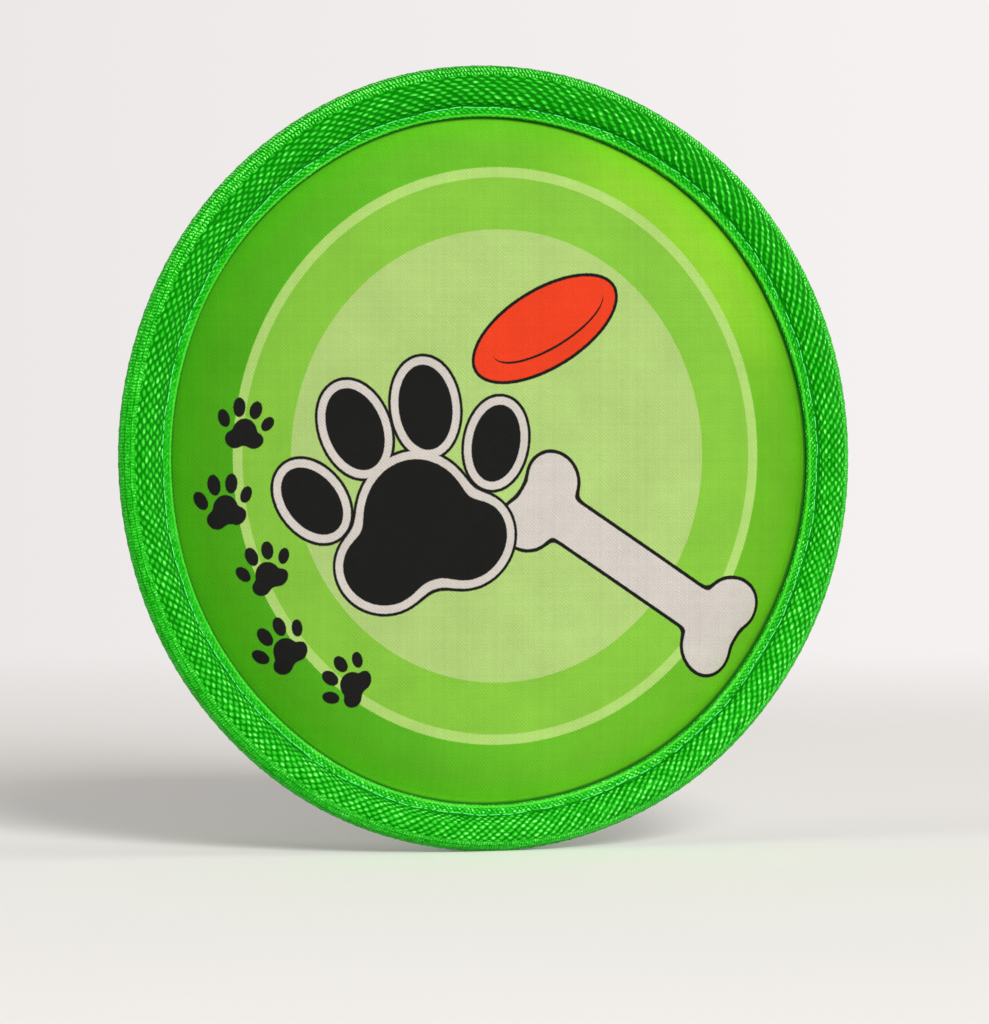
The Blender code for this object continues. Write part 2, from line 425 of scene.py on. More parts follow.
paw_mark = bpy.data.node_groups.new("paw_mark", "ShaderNodeTree")
paw_mark.interface.new_socket("Place", in_out="INPUT", socket_type="NodeSocketVector")
paw_mark.interface.new_socket("Distance", in_out="OUTPUT", socket_type="NodeSocketFloat")
entry = paw_mark.nodes.new("NodeGroupInput").outputs[0]
leave = paw_mark.nodes.new("NodeGroupOutput")
palm = [oval(paw_mark, entry, (0, -0.02), (0.62, 0.66))]
toes = []
for side in (-1, 1):
    palm.append(oval(paw_mark, entry, (side * 0.52, -0.40), (0.46, 0.40), side * 0.5))
    toes.append(oval(paw_mark, entry, (side * 0.42, 1.12), (0.31, 0.46), side * -0.14))
    toes.append(oval(paw_mark, entry, (side * 1.10, 0.52), (0.28, 0.42), side * -0.48))
palm_pad = joined(paw_mark, palm, 0.25)
whole_paw = joined(paw_mark, [palm_pad, *toes])
paw_mark.links.new(whole_paw.outputs[0], leave.inputs[0])


def printed_paw(tree, place, half_width):
    """Distance from a paw mark whose palm is half_width mm to each side."""
    paw = add(tree, "Group", place, node_tree=paw_mark)
    return add(tree, "Math", paw, half_width, operation="MULTIPLY")


# Matt polyester with the ink sunk into it: flat colour that only the yarns break up.
print_canvas, tree, shader = new_material(
    "printed_polyester_canvas", IOR=1.45, Specular_IOR_Level=0.08
)
cloth_place = on_cloth(tree)
weave = add(tree, "Group", cloth_place, node_tree=twill)
ragged = add(tree, "TexNoise", cloth_place, named={"Scale": 1.6, "Detail": 2}).outputs["Color"]
print_place = add(tree, "VectorMath", ragged, (0.28, 0.28, 0), cloth_place, operation="MULTIPLY_ADD")

# The rings.
rings_from = placed(tree, print_place, PRINT_CENTRE)
rings_wide = add(tree, "VectorMath", rings_from, (PRINT_WIDTH, 1, 1), operation="DIVIDE")
ring_radius = add(tree, "VectorMath", rings_wide, operation="LENGTH").outputs["Value"]
# The outermost ring's green, with painted shade deepening it low on the left and painted light turning
# it a light yellow-green towards the right.
left_shade_way = (math.cos(math.radians(10)) / 200, math.sin(math.radians(10)) / 200, 0)
left_shade_reach = add(tree, "VectorMath", print_place, left_shade_way, operation="DOT_PRODUCT")
left_shade_share = add(tree, "Math", left_shade_reach.outputs["Value"], 0.5, operation="ADD")
OUTER_GREEN_LEFT_SHADE = (
    (0.05, "#337904"),
    (0.25, "#3d830e"),
    (0.42, "#488a16"),
    (0.58, "#4f8b1a"),
    (0.95, "#4c8613"),
)
colour = ramp(tree, left_shade_share, *OUTER_GREEN_LEFT_SHADE)
# A painted pool of light makes it lightest in a soft round area at the upper right.
light_pool_from = placed(tree, print_place, (62, 66))
light_pool_reach = add(tree, "VectorMath", light_pool_from, operation="LENGTH").outputs["Value"]
light_pool = add(tree, "MapRange", light_pool_reach, 15, 64, 1, 0, interpolation_type="SMOOTHSTEP")
colour = over_print(tree, colour, "#689a1f", light_pool)
for radius, ink in ((RING_OUTER, "#809e52"), (RING_INNER, "#61912a"), (HEART_RADIUS, "#809856")):
    distance = add(tree, "Math", ring_radius, radius, operation="SUBTRACT")
    colour = over_print(tree, colour, ink, inked(tree, distance))
# Painted shade darkens all the rings a little on the left.
rings_left_shade = add(tree, "MapRange", left_shade_share, 0.1, 0.5, 0.90, 1.0)
colour = add(tree, "VectorMath", colour, operation="SCALE", named={"Scale": rings_left_shade}).outputs[0]

# The trail of small paws, every 15 degrees along the pale ring on the left, left and right feet.
TRAIL_STEP = math.radians(15)
TRAIL_FIRST = math.radians(165.5)
TRAIL_COUNT = 5
TRAIL_RADIUS = 84.0
TRAIL_STRIDE = 3.4
# Angles grow from the -X side round by the bottom, so that the trail doesn't cross the join.
trail_back = add(tree, "VectorMath", rings_wide, (-1, -1, 0), operation="MULTIPLY")
trail_xy = add(tree, "SeparateXYZ", trail_back)
trail_turn = add(tree, "Math", trail_xy.outputs[1], trail_xy.outputs[0], operation="ARCTAN2")
trail_from = add(tree, "Math", trail_turn, TRAIL_FIRST - math.pi, operation="SUBTRACT")
trail_steps = add(tree, "Math", trail_from, TRAIL_STEP, operation="DIVIDE")
trail_cell = add(tree, "Math", trail_steps, operation="FLOOR")
trail_part = add(tree, "Math", trail_steps, operation="FRACT")
foot = add(tree, "Math", trail_cell, 2, operation="FLOORED_MODULO")
inner_line = TRAIL_RADIUS - TRAIL_STRIDE
foot_line = add(tree, "Math", foot, 2 * TRAIL_STRIDE, inner_line, operation="MULTIPLY_ADD")
foot_across = add(tree, "Math", ring_radius, foot_line, operation="SUBTRACT")
pace = TRAIL_STEP * TRAIL_RADIUS
foot_along = add(tree, "Math", trail_part, -pace, pace / 2, operation="MULTIPLY_ADD")
foot_place = add(tree, "CombineXYZ", foot_across, foot_along)
FOOT_HALF_WIDTH = 6.2
foot_spot = placed(tree, foot_place, (0, -2.5), 0, FOOT_HALF_WIDTH)
foot_distance = printed_paw(tree, foot_spot, FOOT_HALF_WIDTH)
past_start = add(tree, "Math", trail_cell, -0.5, operation="GREATER_THAN")
before_end = add(tree, "Math", trail_cell, TRAIL_COUNT - 0.5, operation="LESS_THAN")
in_trail = add(tree, "Math", past_start, before_end, operation="MULTIPLY")
foot_ink = add(tree, "Math", inked(tree, foot_distance), in_trail, operation="MULTIPLY")
colour = over_print(tree, colour, BLACK, foot_ink)

# The toy disc: an orange oval with a black outline, and a short line for its rim.
TOY_CENTRE = (15.0, 38.0)
TOY_RADII = (25.5, 12.0)
TOY_TILT = math.radians(29)
toy = oval(tree, print_place, TOY_CENTRE, TOY_RADII, TOY_TILT)
colour = over_print(tree, colour, BLACK, inked(tree, toy))
colour = over_print(tree, colour, "#ad2c10", inked(tree, toy, -1.0))
rim_outer = oval(tree, print_place, (16.0, 39.0), (19.5, 7.0), TOY_TILT)
rim_inner = oval(tree, print_place, (15.8, 39.6), (19.6, 6.9), TOY_TILT)
rim_gap = add(tree, "Math", rim_inner, -1, operation="MULTIPLY")
rim_line = add(tree, "Math", rim_outer, rim_gap, operation="MAXIMUM")
colour = over_print(tree, colour, BLACK, inked(tree, rim_line))

# The bone: off-white with a black outline. Its four knobs are one, seen from each corner.
BONE_CENTRE = (42.0, -31.0)
BONE_TILT = math.radians(-33)
BONE_HALF = 34.0
bone_spot = placed(tree, print_place, BONE_CENTRE, BONE_TILT)
bone_corner = add(tree, "VectorMath", bone_spot, operation="ABSOLUTE")
knob = oval(tree, bone_corner, (BONE_HALF, 7.6), (9.2, 8.4), 0.35)
bar_ends = add(tree, "VectorMath", bone_corner, (BONE_HALF, 0, 0), operation="MINIMUM")
bar_from = add(tree, "VectorMath", bone_corner, bar_ends, operation="SUBTRACT")
bar_reach = add(tree, "VectorMath", bar_from, operation="LENGTH").outputs["Value"]
bar = add(tree, "Math", bar_reach, 7.4, operation="SUBTRACT")
bone = joined(tree, [bar, knob], 4.0)
colour = over_print(tree, colour, BLACK, inked(tree, bone))
colour = over_print(tree, colour, OFF_WHITE, inked(tree, bone, -1.1))

# The big paw mark, black with an off-white keyline and a black line round that.
PAW_CENTRE = (-25.0, -17.0)
PAW_TILT = math.radians(16)
PAW_HALF_WIDTH = 27.0
paw_spot = placed(tree, print_place, PAW_CENTRE, PAW_TILT, PAW_HALF_WIDTH)
big_paw = printed_paw(tree, paw_spot, PAW_HALF_WIDTH)
colour = over_print(tree, colour, BLACK, inked(tree, big_paw, 3.2))
colour = over_print(tree, colour, OFF_WHITE, inked(tree, big_paw, 2.3))
colour = over_print(tree, colour, BLACK, inked(tree, big_paw))


BINDING_REFLECTION_WITHIN = 8.0  # mm from the lip
CREASE_SHADOW_SPAN = (0.2, 1.15)


def woven_shade(tree, colour, weave, place, shader):
    """Paints the light and shade of its yarns into a printed or dyed colour, with slow dye changes, and
    gives it a relief.

    Towards the binding it paints in a green reflection of the binding and shade, and a dark painted
    shadow in the crease that its lip presses.
    """
    from_lip = add(tree, "Attribute", attribute_name="from_lip").outputs["Fac"]
    # Painted green reflection of the binding, with painted shade, strongest at the lip.
    binding_reflection_share = add(tree, "MapRange", from_lip, 0, BINDING_REFLECTION_WITHIN, 1, 0)
    binding_reflection_tint = {6: colour, 7: (0.86, 1.2, 0.45, 1)}
    binding_reflected = add(tree, "Mix", binding_reflection_share, data_type="RGBA", blend_type="MULTIPLY", named=binding_reflection_tint)
    # A painted shadow in the crease that the lip presses.
    crease_shadow = add(tree, "MapRange", from_lip, *CREASE_SHADOW_SPAN, 0.85, 0, interpolation_type="SMOOTHSTEP")
    crease_shadow_mix = {6: binding_reflected.outputs[2], 7: linear("#0a450c")}
    colour = add(tree, "Mix", crease_shadow, data_type="RGBA", named=crease_shadow_mix).outputs[2]
    dye = add(tree, "TexNoise", place, named={"Scale": 0.05, "Detail": 4, "Roughness": 0.6})
    dye_level = add(tree, "MapRange", dye, 0.3, 0.7, 0.94, 1.06)
    yarn_level = add(tree, "MapRange", weave.outputs["Yarn"], 0, 1, 0.95, 1.05)
    # Painted highlights on the raised yarns of the twill and painted shade between them, stronger in
    # places.
    yarn_light_level = add(tree, "MapRange", weave.outputs["Height"], 0, 1, 0.77, 1.25)
    yarn_light_patchiness = add(tree, "TexNoise", place, named={"Scale": 0.3, "Detail": 2})
    yarn_light_share = add(tree, "MapRange", yarn_light_patchiness, 0.35, 0.65, 0.45, 1)
    yarn_light_mixed = add(tree, "Mix", yarn_light_share, named={2: 1.0, 3: yarn_light_level})
    level = add(tree, "Math", dye_level, yarn_level, operation="MULTIPLY")
    shade = add(tree, "Math", level, yarn_light_mixed, operation="MULTIPLY")
    shaded = add(tree, "VectorMath", colour, operation="SCALE", named={"Scale": shade})
    tree.links.new(shaded.outputs[0], shader.inputs["Base Color"])
    relief = {"Strength": 0.6, "Distance": 0.00012, "Height": weave.outputs["Height"]}
    bump = add(tree, "Bump", named=relief)
    tree.links.new(bump.outputs[0], shader.inputs["Normal"])
    polish = add(tree, "MapRange", weave.outputs["Height"], 0, 1, 0.85, 0.62)
    tree.links.new(polish.outputs[0], shader.inputs["Roughness"])


woven_shade(tree, colour, weave, cloth_place, shader)
front_panel.data.materials.append(print_canvas)

# The back panel is the same canvas piece-dyed in the print's green, with nothing printed on it.
dyed_canvas, tree, shader = new_material(
    "dyed_polyester_canvas", IOR=1.45, Specular_IOR_Level=0.08
)
cloth_place = on_cloth(tree)
weave = add(tree, "Group", cloth_place, node_tree=twill)
green = add(tree, "RGB")
green.outputs[0].default_value = linear("#4c8b16")
woven_shade(tree, green.outputs[0], weave, cloth_place, shader)
back_panel.data.materials.append(dyed_canvas)

for panel, node, slot in (
    (front_panel, "front_panel", "printed_canvas"),
    (back_panel, "back_panel", "plain_canvas"),
):
    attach(panel, "root")
    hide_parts(node)

# ----------------------------------------------------------------------
# The binding: heavy nylon webbing 38 mm wide and 1.8 mm thick, folded lengthwise over the tube and
# all round the disc. Its two woven edges end as a raised lip on each face, inside the stitching.

WEBBING = 1.8
LIP_FOOT = PANEL_BACK + CANVAS + CLEARANCE
LIP_TOP = LIP_FOOT + WEBBING
TUFTS = 228  # tufts of float yarn in one turn, 3 mm apart, the next row staggered by half
TUFT_LENGTH = TAU * RIM_CENTRE / TUFTS
TUFT_ROW = 1.08
RIB_BREAK = 2.7  # mm from the outermost line: the cross ribs of the turned edge break here
RIB_END = 4.9  # and they end here
BEAD_LINE = 5.7
TUFT_START = 6.5
TUFT_END = 15.4
LIP_START = 17.0
STEPS_PER_TUFT = 4
TUFT_HALF_LENGTH = 1.15
RIBS_PER_TUFT = 3.5
SPECKS_PER_TUFT = 1.75  # of the finer weave at the lips
SPECK_ROW = 1.47
SPECK_LENS = (0.66, 0.44, 1)
WHIPS_PER_TUFT = 3.75


def rounded_path(corners, rounds):
    """Cuts the corners off an open path again and again, keeping its two ends."""
    for _ in range(rounds):
        near = corners[:-1] * 0.75 + corners[1:] * 0.25
        far = corners[:-1] * 0.25 + corners[1:] * 0.75
        inner = np.stack([near, far], 1).reshape(-1, 2)
        corners = np.vstack([corners[:1], inner, corners[-1:]])
    return corners


# Half of the section's outer line, from the outermost point in to the lip.
crest_r, crest_h = ring_arc(RIM_CENTRE, RIM_HALF, 0, math.radians(137), 40)
valley = [[STITCH_RADIUS + 0.9, LIP_TOP + 0.15], [STITCH_RADIUS - 0.2, LIP_TOP - 0.35]]
lip_line = [
    [STITCH_RADIUS - 1.3, LIP_TOP + 0.1],
    [LIP_RADIUS + 0.5, LIP_TOP],
    [LIP_RADIUS - 0.05, LIP_TOP - 0.5],
    [LIP_RADIUS, LIP_FOOT],
]
half_line = rounded_path(np.array([*zip(crest_r, crest_h), *valley, *lip_line]), 3)
half_steps = np.hypot(*np.diff(half_line, axis=0).T)
half_reach = np.concatenate([[0], np.cumsum(half_steps)])
half_length = half_reach[-1]
reach_rows = np.linspace(0, half_length, 46)
row_r = np.interp(reach_rows, half_reach, half_line[:, 0])
row_h = np.interp(reach_rows, half_reach, half_line[:, 1])
run_r = np.gradient(row_r, reach_rows)
run_h = np.gradient(row_h, reach_rows)
run = np.hypot(run_r, run_h)
out_r = run_h / run
out_h = -run_r / run
inner_turn = np.radians([155, 115, 70, 30, 0, -30, -70, -115, -155])
inner_radius = RIM_HALF - WEBBING
inside_r = RIM_CENTRE + inner_radius * np.cos(inner_turn)
inside_h = inner_radius * np.sin(inner_turn)


TUFT_RELIEF = 0.32
GROOVE_DEPTH = 0.07


def weave_height(tufts, reach):
    """Relief of the webbing in mm, from tufts along it and mm in from the outermost line."""
    row = (reach - TUFT_START) / TUFT_ROW
    tuft = 0.5 * np.cos(TAU * tufts) * np.cos(math.pi * row)
    bead = 0.5 * np.cos(2 * TAU * tufts)
    lip = 0.3 * np.cos(TAU * 2 * tufts) * np.cos(TAU * reach / 1.9)
    in_tufts = smooth_step(TUFT_START - 0.6, TUFT_START + 0.4, reach)
    in_tufts = in_tufts * (1 - smooth_step(TUFT_END - 0.6, TUFT_END + 0.4, reach))
    in_beads = np.exp(-(((reach - BEAD_LINE) / 0.6) ** 2))
    in_lip = smooth_step(LIP_START - 0.4, LIP_START + 0.6, reach)
    groove = np.exp(-(((reach - RIB_END) / 0.35) ** 2))
    in_ribs = 1 - smooth_step(RIB_END - 0.8, RIB_END, reach)
    rib = 0.3 * np.cos(TAU * tufts) * np.cos(TAU * tufts / 3)
    raised = in_tufts * tuft + in_beads * bead + in_lip * lip + in_ribs * rib
    return TUFT_RELIEF * raised - GROOVE_DEPTH * groove


web_turn = np.linspace(0, TAU, TUFTS * STEPS_PER_TUFT + 1)[:, None]
web_tufts = np.arange(TUFTS * STEPS_PER_TUFT + 1)[:, None] / STEPS_PER_TUFT
# The binder pulled the webbing harder over the top, so that its tufts lie up to 3.5 mm apart
# there and 2.6 mm at the bottom, and unevenly everywhere.
pull = 5.2 * np.cos(web_turn) + 0.22 * np.sin(5 * web_turn + 1) + 0.10 * np.sin(19 * web_turn)
front_reach = reach_rows[::-1]
back_reach = reach_rows[1:]
outer_reach = np.concatenate([front_reach, back_reach])
side_sign = np.concatenate([np.ones(len(front_reach)), -np.ones(len(back_reach))])
sec_r = np.concatenate([row_r[::-1], row_r[1:]])
sec_h = np.concatenate([row_h[::-1], -row_h[1:]])
sec_out_r = np.concatenate([out_r[::-1], out_r[1:]])
sec_out_h = np.concatenate([out_h[::-1], -out_h[1:]])
skew = 0.5 * (side_sign < 0)
relief = weave_height(web_tufts + pull + skew, outer_reach)
foot_fade = smooth_step(0, 1.2, half_length - outer_reach)
relief = relief * foot_fade
swell = 0.06 * np.sin(3 * web_turn + outer_reach / 3)
swell = swell + 0.05 * np.sin(11 * web_turn - outer_reach / 2)
web_r = sec_r + sec_out_r * (relief + swell * foot_fade)
web_h = sec_h + sec_out_h * (relief + swell * foot_fade)
around_web = (len(web_turn), len(inner_turn))
web_r = np.hstack([web_r, np.broadcast_to(inside_r[::-1], around_web)])
web_h = np.hstack([web_h, np.broadcast_to(inside_h[::-1], around_web)])
web_r = web_r + seam_wander(web_r, web_turn)
web_points = on_disc(web_r, web_turn, web_h)[:-1]
side_reach = outer_reach * side_sign
hidden_reach = -half_length - 2 * np.arange(1, len(inner_turn) + 2)
uv_shape = (len(web_turn), web_r.shape[1] + 1)
uv_v = np.broadcast_to(np.concatenate([side_reach, hidden_reach]), uv_shape)
uv_u = np.broadcast_to(web_tufts + pull, uv_shape)
rim_webbing = grid_mesh("rim_webbing_nylon", web_points, True, True, np.stack([uv_u, uv_v], -1))


def tufts_at(tree, grid, shift, size, lens, lean, seed):
    """One half of a staggered lattice of lens-shaped tufts: how high each stands, and its number.

    grid counts cells, size is a cell in mm, and lens is a tuft's half length and half width.
    lean tilts a tuft: how far its line moves out towards the rim for each mm along.
    """
    moved = add(tree, "VectorMath", grid, (shift, shift, 0), operation="ADD")
    cell = add(tree, "VectorMath", moved, operation="FLOOR")
    part = add(tree, "VectorMath", moved, operation="FRACTION")
    centred = add(tree, "VectorMath", part, (0.5, 0.5, 0), operation="SUBTRACT")
    flat = add(tree, "VectorMath", centred, (*size, 0), operation="MULTIPLY")
    flat_xy = add(tree, "SeparateXYZ", flat)
    slid = add(tree, "Math", flat_xy.outputs[0], lean, flat_xy.outputs[1], operation="MULTIPLY_ADD")
    leaning = add(tree, "CombineXYZ", flat_xy.outputs[0], slid)
    spot = add(tree, "VectorMath", leaning, lens, operation="DIVIDE")
    reach = add(tree, "VectorMath", spot, operation="LENGTH").outputs["Value"]
    fall = add(tree, "Math", reach, reach, operation="MULTIPLY")
    rise = add(tree, "Math", 1, fall, operation="SUBTRACT")
    dome = add(tree, "Math", rise, 0, operation="MAXIMUM")
    numbered = add(tree, "VectorMath", cell, (0, 0, seed + shift), operation="ADD")
    number = add(tree, "TexWhiteNoise", numbered).outputs["Value"]
    return dome, number


def between(tree, value, low, high, blur):
    """1 while a value lies between two others, and 0 beyond them."""
    up = add(tree, "MapRange", value, low - blur, low + blur, 0, 1, interpolation_type="SMOOTHSTEP")
    down = add(tree, "MapRange", value, high - blur, high + blur, 1, 0, interpolation_type="SMOOTHSTEP")
    return add(tree, "Math", up, down, operation="MULTIPLY")


def nylon_webbing(name, shade_to_highlight):
    """Woven multifilament nylon: tufts with painted highlights over gaps with painted shade, finer and
    duller at the lips.
    """
    gloss = {"Specular_IOR_Level": 0.08, "Specular_Tint": linear("#b4ffa8")}
    material, tree, shader = new_material(name, IOR=1.53, **gloss)
    uv = add(tree, "UVMap", uv_map="weave")
    uv_xy = add(tree, "SeparateXYZ", uv)
    along = uv_xy.outputs[0]
    reach = add(tree, "Math", uv_xy.outputs[1], operation="ABSOLUTE")
    side = add(tree, "Math", uv_xy.outputs[1], operation="SIGN")
    back = add(tree, "Math", side, 0, operation="LESS_THAN")
    slide = add(tree, "Math", back, 0.5, along, operation="MULTIPLY_ADD")

    # The tufts, in two half lattices.
    rows = add(tree, "Math", reach, TUFT_START, operation="SUBTRACT")
    pairs = add(tree, "Math", rows, 2 * TUFT_ROW, operation="DIVIDE")
    even_grid = add(tree, "CombineXYZ", slide, pairs, side)
    jostle = add(tree, "TexNoise", even_grid, named={"Scale": 1.1, "Detail": 1}).outputs["Color"]
    centred_jostle = add(tree, "VectorMath", jostle, (0.5, 0.5, 0.5), operation="SUBTRACT")
    grid = add(tree, "VectorMath", centred_jostle, (0.45, 0.3, 0), even_grid, operation="MULTIPLY_ADD")
    # The webbing was pulled askew as it was folded, this way and that round the disc.
    askew_turn = add(tree, "Math", along, TAU / TUFTS, operation="MULTIPLY")
    askew = add(tree, "Math", askew_turn, operation="SINE")
    lean_way = add(tree, "TexNoise", None, named={"W": slide, "Scale": 0.045}, noise_dimensions="1D")
    lean_noise = add(tree, "MapRange", lean_way, 0.35, 0.65, -0.12, 0.12)
    twice = add(tree, "Math", askew_turn, 2, operation="MULTIPLY")
    askew_twice = add(tree, "Math", twice, operation="SINE")
    lean_twice = add(tree, "Math", askew_twice, 0.18, lean_noise, operation="MULTIPLY_ADD")
    lean = add(tree, "Math", askew, 0.25, lean_twice, operation="MULTIPLY_ADD")
    cell = (TUFT_LENGTH, 2 * TUFT_ROW)
    half_width = add(tree, "MapRange", askew, -1, 1, 0.72, 0.52)
    lens = add(tree, "CombineXYZ", TUFT_HALF_LENGTH, half_width, 1.0)
    tuft_a, number_a = tufts_at(tree, grid, 0.5, cell, lens, lean, 0)
    tuft_b, number_b = tufts_at(tree, grid, 0.0, cell, lens, lean, 7)
    first = add(tree, "Math", tuft_a, tuft_b, operation="GREATER_THAN")
    tuft = add(tree, "Math", tuft_a, tuft_b, operation="MAXIMUM")
    number = add(tree, "Mix", first, named={2: number_b, 3: number_a})
    uneven = add(tree, "MapRange", number, 0, 1, 0.62, 1.0)
    tufts = add(tree, "Math", tuft, uneven, operation="MULTIPLY")

    # The cross ribs of the turned edge, seven to two tufts, with a row of beads beside them. Both
    # stand out over the top, where the webbing was pulled hardest.
    rib_jostle = add(tree, "TexNoise", uv, named={"Scale": 0.9, "Detail": 1})
    rib_slide = add(tree, "Math", rib_jostle, 0.35, slide, operation="MULTIPLY_ADD")
    rib_wave = add(tree, "Math", rib_slide, RIBS_PER_TUFT * TAU, operation="MULTIPLY")
    rib_sine = add(tree, "Math", rib_wave, operation="COSINE")
    rib_strength = add(tree, "MapRange", askew, 0.2, 0.9, 0.45, 1.15)
    rib_swing = add(tree, "Math", rib_sine, rib_strength, operation="MULTIPLY")
    rib_middle = add(tree, "MapRange", askew, 0.2, 0.9, 0.45, 0.74)
    rib_rise = add(tree, "Math", rib_swing, 0.44, rib_middle, operation="MULTIPLY_ADD")
    rib_break = add(tree, "Math", reach, RIB_BREAK, operation="SUBTRACT")
    from_break = add(tree, "Math", rib_break, operation="ABSOLUTE")
    break_rise = add(tree, "MapRange", from_break, 0.05, 0.4, 0.35, 1.0)
    rib_even = add(tree, "Math", rib_rise, break_rise, operation="MULTIPLY")
    worn_place = add(tree, "VectorMath", uv, (3.2, 1.1, 0), operation="MULTIPLY")
    worn_noise = add(tree, "TexNoise", worn_place, named={"Scale": 1.0, "Detail": 1})
    worn = add(tree, "MapRange", worn_noise, 0.35, 0.65, 0.6, 1.2)
    rib = add(tree, "Math", rib_even, worn, operation="MULTIPLY")
    bead_sine = add(tree, "Math", rib_wave, operation="SINE")
    bead_swing = add(tree, "Math", bead_sine, rib_strength, operation="MULTIPLY")
    bead_even = add(tree, "MapRange", bead_swing, -1.2, 1.2, 1.1, 0.1)
    bead = add(tree, "Math", bead_even, worn, operation="MULTIPLY")

    # The lip: a fine speckled weave whose speckles are fainter at the left, with a whipped line of
    # slanting ribs along its inner corner.
    fine_scale = (SPECKS_PER_TUFT, 1 / SPECK_ROW, 0)
    fine_even = add(tree, "VectorMath", uv, fine_scale, operation="MULTIPLY")
    fine = add(tree, "VectorMath", centred_jostle, (0.9, 0.7, 0), fine_even, operation="MULTIPLY_ADD")
    fine_cell = (TUFT_LENGTH / SPECKS_PER_TUFT, SPECK_ROW)
    fine_a, fine_number_a = tufts_at(tree, fine, 0.5, fine_cell, SPECK_LENS, 0.2, 3)
    fine_b, fine_number_b = tufts_at(tree, fine, 0.0, fine_cell, SPECK_LENS, 0.2, 5)
    fine_first = add(tree, "Math", fine_a, fine_b, operation="GREATER_THAN")
    fine_most = add(tree, "Math", fine_a, fine_b, operation="MAXIMUM")
    fine_number = add(tree, "Mix", fine_first, named={2: fine_number_b, 3: fine_number_a})
    fine_uneven = add(tree, "MapRange", fine_number, 0, 1, 0.35, 1.0)
    speckle_rise = add(tree, "Math", fine_most, fine_uneven, operation="MULTIPLY")
    leftward = add(tree, "Math", askew_turn, operation="COSINE")
    speckle_swing = add(tree, "MapRange", leftward, -1, -0.4, 0.4, 0.85)
    speckle_low = add(tree, "MapRange", leftward, -1, -0.4, 0.34, 0.2)
    speckle = add(tree, "Math", speckle_rise, speckle_swing, speckle_low, operation="MULTIPLY_ADD")
    whip_turn = add(tree, "Math", slide, WHIPS_PER_TUFT, rows, operation="MULTIPLY_ADD")
    whip_wave = add(tree, "Math", whip_turn, TAU, operation="MULTIPLY")
    whip_sine = add(tree, "Math", whip_wave, operation="COSINE")
    whip = add(tree, "MapRange", whip_sine, -1, 1, 0.3, 0.8)

    # One height from all of them, each in its own stretch across the webbing.
    height = 0.0
    for part, low, high, blur in (
        (rib, -1, RIB_END - 0.15, 0.15),
        (bead, BEAD_LINE - 0.75, BEAD_LINE + 0.6, 0.2),
        (tufts, TUFT_START - 0.1, TUFT_END, 0.25),
        (speckle, LIP_START - 0.6, WHIP_START, 0.2),
        (whip, WHIP_START, WHIP_END, 0.15),
        (speckle, WHIP_END, 99, 0.15),
    ):
        held = between(tree, reach, low, high, blur)
        height = add(tree, "Math", part, held, height, operation="MULTIPLY_ADD")

    # The filaments of each tuft, 0.1 mm apart and drawn along it.
    strand = add(tree, "VectorMath", uv, (1.6, 9.0, 0), operation="MULTIPLY")
    strands = add(tree, "TexNoise", strand, named={"Scale": 1.0, "Detail": 2})
    strand_rise = add(tree, "MapRange", strands, 0.35, 0.65, -0.09, 0.09)
    surface = add(tree, "Math", height, strand_rise, operation="ADD")
    tone = add(tree, "TexNoise", uv, named={"Scale": 0.35, "Detail": 3})
    tone_shift = add(tree, "MapRange", tone, 0.3, 0.7, -0.12, 0.12)
    grain = add(tree, "TexNoise", uv, named={"Scale": 1.3, "Detail": 2})
    grain_shift = add(tree, "MapRange", grain, 0.3, 0.7, -0.15, 0.15)
    # Painted light makes it lighter below and to the right, and darker at the upper left; random tone
    # is added in.
    below_light_turn = add(tree, "Math", askew_turn, math.radians(-20), operation="ADD")
    below_light_wave = add(tree, "Math", below_light_turn, operation="SINE")
    below_light_and_tone = add(tree, "Math", below_light_wave, -0.07, tone_shift, operation="MULTIPLY_ADD")
    shift = add(tree, "Math", below_light_and_tone, grain_shift, operation="ADD")
    toned = add(tree, "Math", surface, shift, operation="ADD")
    # The height sets the colour: painted shade in the gaps and painted highlights on the tufts, ribs
    # and beads.
    woven = ramp(tree, toned, *shade_to_highlight)
    # The whipping yarn is a yellow green, with a painted highlight along the lip's rounded corner.
    whipped = between(tree, reach, WHIP_START, WHIP_END, 0.2)
    whip_tint_and_highlight = add(tree, "Math", whipped, 0.5, operation="MULTIPLY")
    yellower = add(tree, "Mix", whip_tint_and_highlight, data_type="RGBA", named={6: woven, 7: linear("#48b826")})
    tree.links.new(yellower.outputs[2], shader.inputs["Base Color"])
    # The ribs of the turned edge are packed tighter and stand less high than the tufts.
    ribbed = between(tree, reach, -1, BEAD_LINE, 0.4)
    firmness = add(tree, "MapRange", ribbed, 0, 1, 0.8, 0.4)
    bump = add(tree, "Bump", named={"Strength": firmness, "Distance": 0.00035, "Height": surface})
    tree.links.new(bump.outputs[0], shader.inputs["Normal"])
    polish = add(tree, "MapRange", height, 0, 1, 0.62, 0.34)
    tree.links.new(polish.outputs[0], shader.inputs["Roughness"])
    return material


WHIP_START = half_length - 2.3  # the whipped line lies along the lip's corner
WHIP_END = half_length - 1.6
# Colours from painted shade in the gaps up to painted highlights on the tops.
WEBBING_SHADE_TO_HIGHLIGHT = (
    (0.0, "#005f00"),
    (0.25, "#057e03"),
    (0.5, "#189811"),
    (0.8, "#38ac31"),
    (1.0, "#70d864"),
)
rim_webbing.data.materials.append(nylon_webbing("woven_nylon_webbing", WEBBING_SHADE_TO_HIGHLIGHT))
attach(rim_webbing, "root")
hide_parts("rim_webbing")

# ----------------------------------------------------------------------
# The lockstitching: two bonded threads 0.4 mm thick that lock inside the layers. On each face one
# shows as stitches 4 mm long, which dip into a needle hole at each end.

